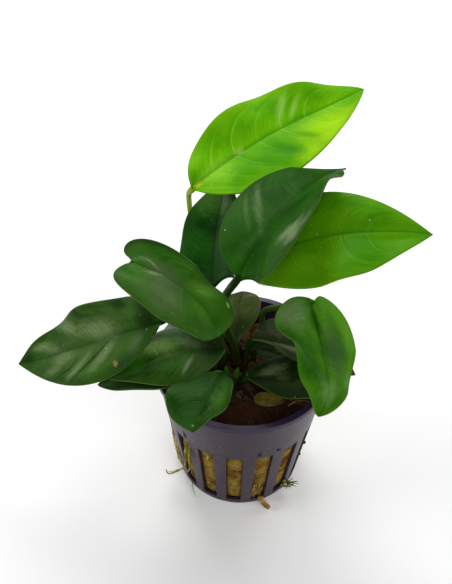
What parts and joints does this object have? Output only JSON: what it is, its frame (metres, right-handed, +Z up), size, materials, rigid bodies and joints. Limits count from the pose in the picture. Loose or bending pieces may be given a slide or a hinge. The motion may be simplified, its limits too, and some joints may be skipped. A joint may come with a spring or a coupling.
{
  "type": "potted anubias plant",
  "caption": "Broad-leaved anubias growing from a creeping rhizome in rock wool, held in a small slotted plastic net pot.",
  "frame": {"origin": "middle of the pot's underside, on the face that it stands on", "axes": "+Z up, -Y to the front, +X to the right seen from the front"},
  "size_m": [0.1053, 0.0951, 0.1059],
  "materials": {
    "pot_plastic": "dark violet-grey moulded plastic, semi-gloss",
    "rock_wool": "coarse golden-brown mineral fibre, matte",
    "rhizome": "reddish-brown bark, matte",
    "leaf_bright": "bright yellow-green leaf, satin",
    "leaf_dark": "dark green leaf, waxy gloss",
    "leaf_olive": "olive-brown ageing leaf, satin",
    "leaf_old": "yellow-brown old leaf, matte",
    "stalk": "green to brownish stalk, satin",
    "root": "pale tan root, matte",
    "dry_sheath": "dry orange-brown sheath, matte"
  },
  "bodies": {
    "root": {"net_pot": "pot_plastic", "rock_wool": "rock_wool", "rhizome": "rhizome", "leaf_top_blade": "leaf_bright", "leaf_top_stalk": "stalk", "leaf_dark_upright_blade": "leaf_dark", "leaf_dark_upright_stalk": "stalk", "leaf_right_blade": "leaf_bright", "leaf_right_stalk": "stalk", "leaf_upper_left_blade": "leaf_dark", "leaf_upper_left_stalk": "stalk", "leaf_heart_blade": "leaf_dark", "leaf_heart_stalk": "stalk", "leaf_left_blade": "leaf_dark", "leaf_left_stalk": "stalk", "leaf_lower_left_blade": "leaf_dark", "leaf_lower_left_stalk": "stalk", "leaf_under_left_blade": "leaf_dark", "leaf_under_left_stalk": "stalk", "leaf_front_blade": "leaf_dark", "leaf_front_stalk": "stalk", "leaf_big_right_blade": "leaf_dark", "leaf_big_right_stalk": "stalk", "leaf_olive_blade": "leaf_olive", "leaf_olive_stalk": "stalk", "leaf_tucked_blade": "leaf_dark", "leaf_tucked_stalk": "stalk", "leaf_front_right_blade": "leaf_dark", "leaf_front_right_stalk": "stalk", "leaf_inner_blade": "leaf_dark", "leaf_inner_stalk": "stalk", "old_leaf": "leaf_old", "dry_sheath": "dry_sheath", "bud_left": "stalk", "bud_right": "stalk", "root_left_slot": "root", "root_left_tuft": "root", "root_front": "root", "root_right": "root"}
  },
  "joints": []
}
